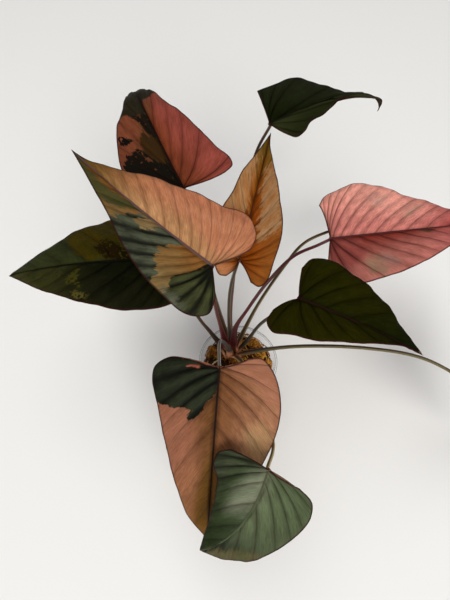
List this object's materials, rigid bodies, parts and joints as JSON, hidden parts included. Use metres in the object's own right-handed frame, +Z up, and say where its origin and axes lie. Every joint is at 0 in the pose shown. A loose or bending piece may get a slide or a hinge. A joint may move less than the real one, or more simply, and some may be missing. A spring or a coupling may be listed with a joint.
{
  "type": "potted aroid house plant",
  "caption": "Potted pink diamond homalomena: heart-shaped pink and dark green leaves on long petioles from a crown in moss, in a clear round plastic cup",
  "frame": {"origin": "middle of the cup's flat underside", "axes": "+Z up, -Y towards the viewer of the picture, +X to the viewer's right"},
  "size_m": [0.5285, 0.4694, 0.3067],
  "materials": {
    "cup": "clear thin plastic",
    "moss": "damp fibrous moss",
    "crown": "ringed stem, matt",
    "petiole": "satin, dark reddish brown",
    "blade_back_pink": "satin, pink with dark green patches and dark sunken veins",
    "blade_upper_salmon": "satin, salmon pink and dark green halves with dark sunken veins",
    "blade_left_dark": "satin, dark green with dark sunken veins",
    "blade_centre_amber": "satin, amber brown with dark sunken veins",
    "blade_top_dark": "satin, dark green with dark sunken veins",
    "blade_right_pink": "satin, pink with dark green patches and dark sunken veins",
    "blade_right_dark": "satin, dark green with dark sunken veins",
    "blade_front_pink": "satin, pink with dark green patches and dark sunken veins",
    "blade_front_green": "satin, green with dark sunken veins",
    "blade_side_green": "satin, green with dark sunken veins",
    "blade_behind_pink": "satin, pink with dark green patches and dark sunken veins"
  },
  "bodies": {
    "root": {"cup": "cup", "moss": "moss", "crown": "crown", "petiole_back_pink": "petiole", "blade_back_pink": "blade_back_pink", "petiole_upper_salmon": "petiole", "blade_upper_salmon": "blade_upper_salmon", "petiole_left_dark": "petiole", "blade_left_dark": "blade_left_dark", "petiole_centre_amber": "petiole", "blade_centre_amber": "blade_centre_amber", "petiole_top_dark": "petiole", "blade_top_dark": "blade_top_dark", "petiole_right_pink": "petiole", "blade_right_pink": "blade_right_pink", "petiole_right_dark": "petiole", "blade_right_dark": "blade_right_dark", "petiole_front_pink": "petiole", "blade_front_pink": "blade_front_pink", "petiole_front_green": "petiole", "blade_front_green": "blade_front_green", "petiole_side_green": "petiole", "blade_side_green": "blade_side_green", "petiole_behind_pink": "petiole", "blade_behind_pink": "blade_behind_pink"}
  },
  "joints": []
}
